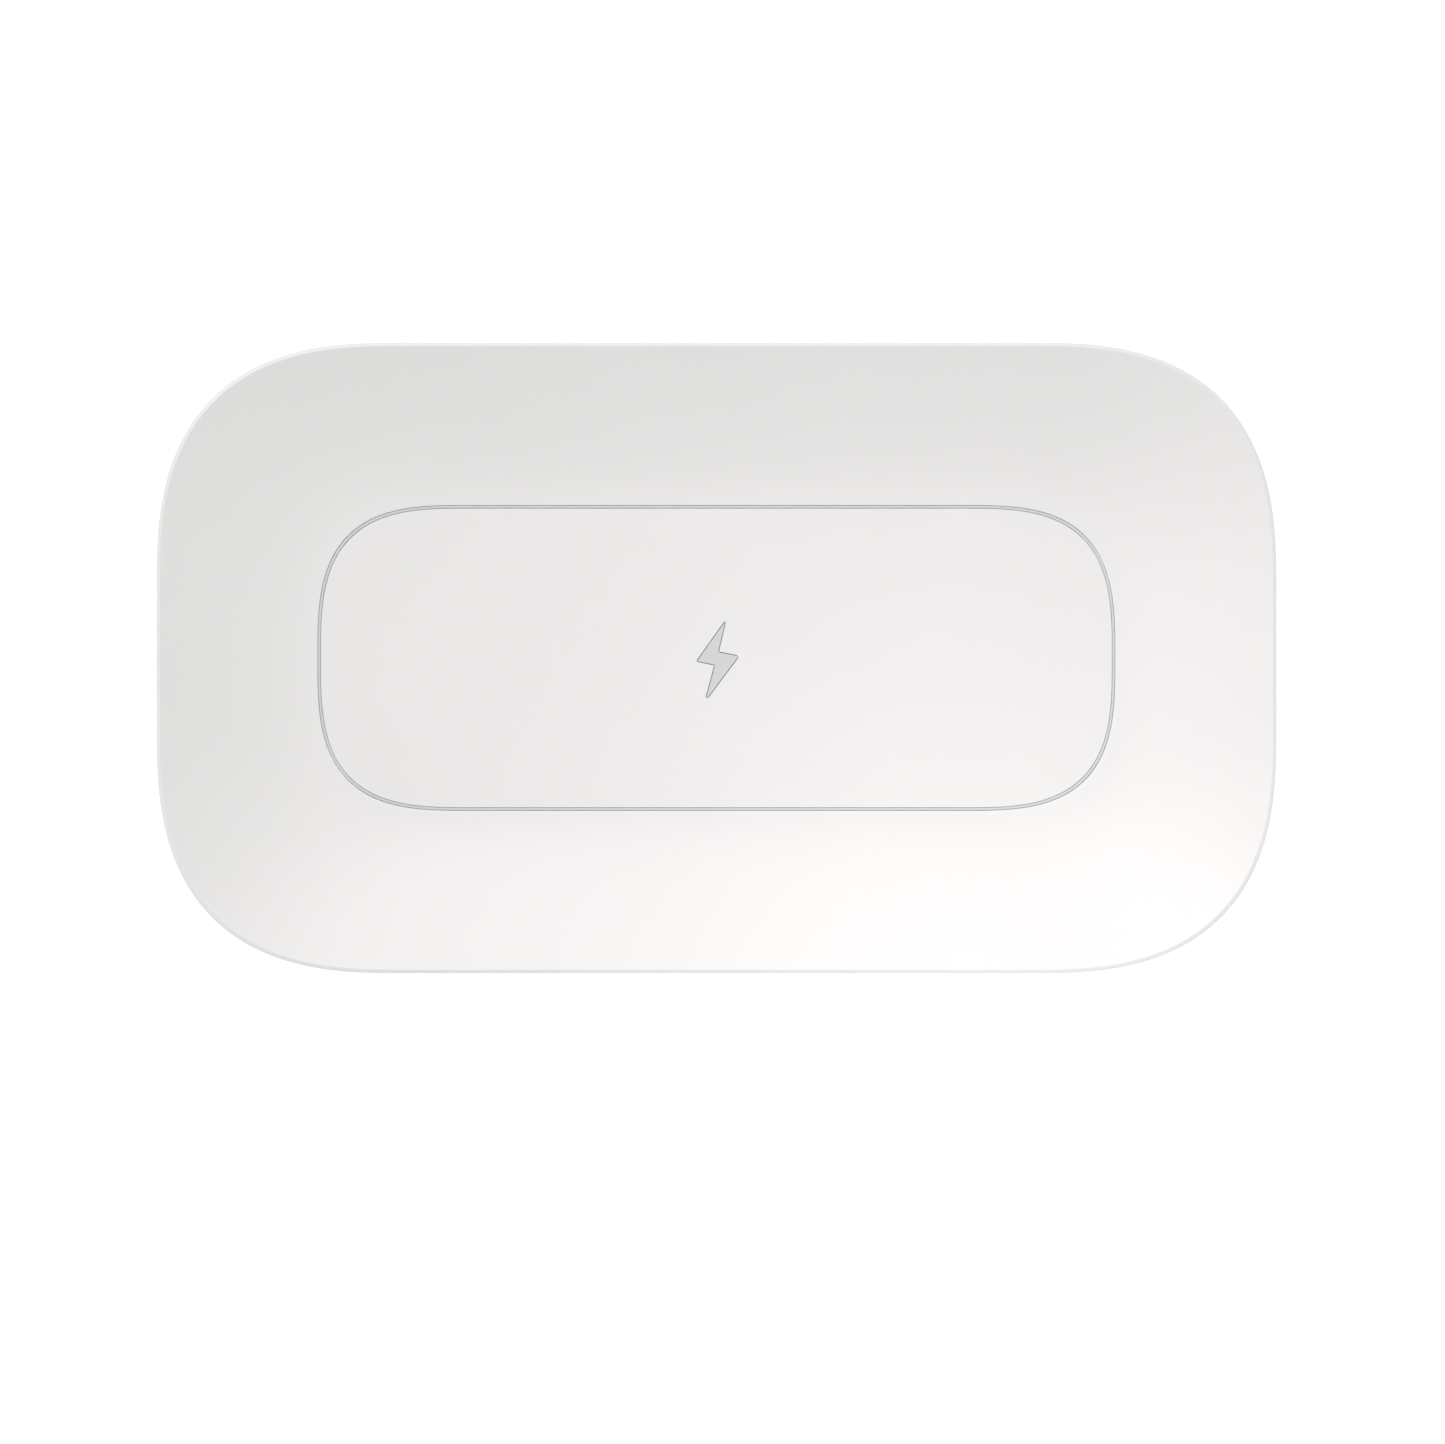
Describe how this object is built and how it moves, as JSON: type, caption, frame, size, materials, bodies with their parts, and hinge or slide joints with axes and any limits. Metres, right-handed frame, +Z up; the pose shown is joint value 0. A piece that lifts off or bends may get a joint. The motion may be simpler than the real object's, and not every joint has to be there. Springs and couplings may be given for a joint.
{
  "type": "wireless charging pad",
  "caption": "Wide low wireless charging pad with a dished white top, a grey placement ring and charge mark, rear power socket, front status light and soft feet.",
  "frame": {"origin": "on the table under the middle of the pad", "axes": "+X along the long side to the right, +Y to the rear where the power socket is, +Z up"},
  "size_m": [0.228, 0.1284, 0.016],
  "materials": {
    "white_plastic": "satin",
    "grey_inlay": "satin",
    "silicone": "matte",
    "screw_steel": "satin",
    "plated_shell": "satin",
    "tongue_plastic": "satin",
    "board": "satin",
    "chip": "matte",
    "inductor": "matte",
    "capacitor": "satin",
    "crystal_can": "satin",
    "copper_litz": "satin",
    "ferrite": "matte",
    "carrier_plastic": "matte",
    "tape": "satin",
    "thermistor_bead": "gloss",
    "aluminium": "satin",
    "foam": "matte",
    "ballast_steel": "satin",
    "led": "gloss",
    "light_pipe": "gloss",
    "ribbon": "satin",
    "cable_socket": "satin"
  },
  "bodies": {
    "root": {"top_cover": "white_plastic", "bottom_shell": "white_plastic", "placement_ring": "grey_inlay", "charge_mark": "grey_inlay", "foot_front_left": "silicone", "foot_front_right": "silicone", "foot_rear_left": "silicone", "foot_rear_right": "silicone", "case_screw_front_left": "screw_steel", "case_screw_front_right": "screw_steel", "case_screw_rear_left": "screw_steel", "case_screw_rear_right": "screw_steel", "case_screw_middle_left": "screw_steel", "case_screw_middle_right": "screw_steel", "main_board": "board", "board_screw_front_left": "screw_steel", "board_screw_front_right": "screw_steel", "board_screw_rear_left": "screw_steel", "board_screw_rear_right": "screw_steel", "socket_shell": "plated_shell", "socket_tongue": "tongue_plastic", "control_chip": "chip", "bridge_chip_left": "chip", "bridge_chip_right": "chip", "crystal": "crystal_can", "power_inductor": "inductor", "tuning_capacitor_1": "capacitor", "tuning_capacitor_2": "capacitor", "tuning_capacitor_3": "capacitor", "tuning_capacitor_4": "capacitor", "input_capacitor_left": "capacitor", "input_capacitor_right": "capacitor", "main_cable_socket": "cable_socket", "foam_pad": "foam", "heat_spreader": "aluminium", "coil_carrier": "carrier_plastic", "ferrite_plate": "ferrite", "coil_winding": "copper_litz", "coil_tape": "tape", "thermistor": "thermistor_bead", "coil_lead_left": "copper_litz", "coil_lead_right": "copper_litz", "ballast_left": "ballast_steel", "ballast_right": "ballast_steel", "light_board": "board", "status_led": "led", "light_cable_socket": "cable_socket", "light_pipe": "light_pipe", "light_cable": "ribbon"}
  },
  "joints": []
}
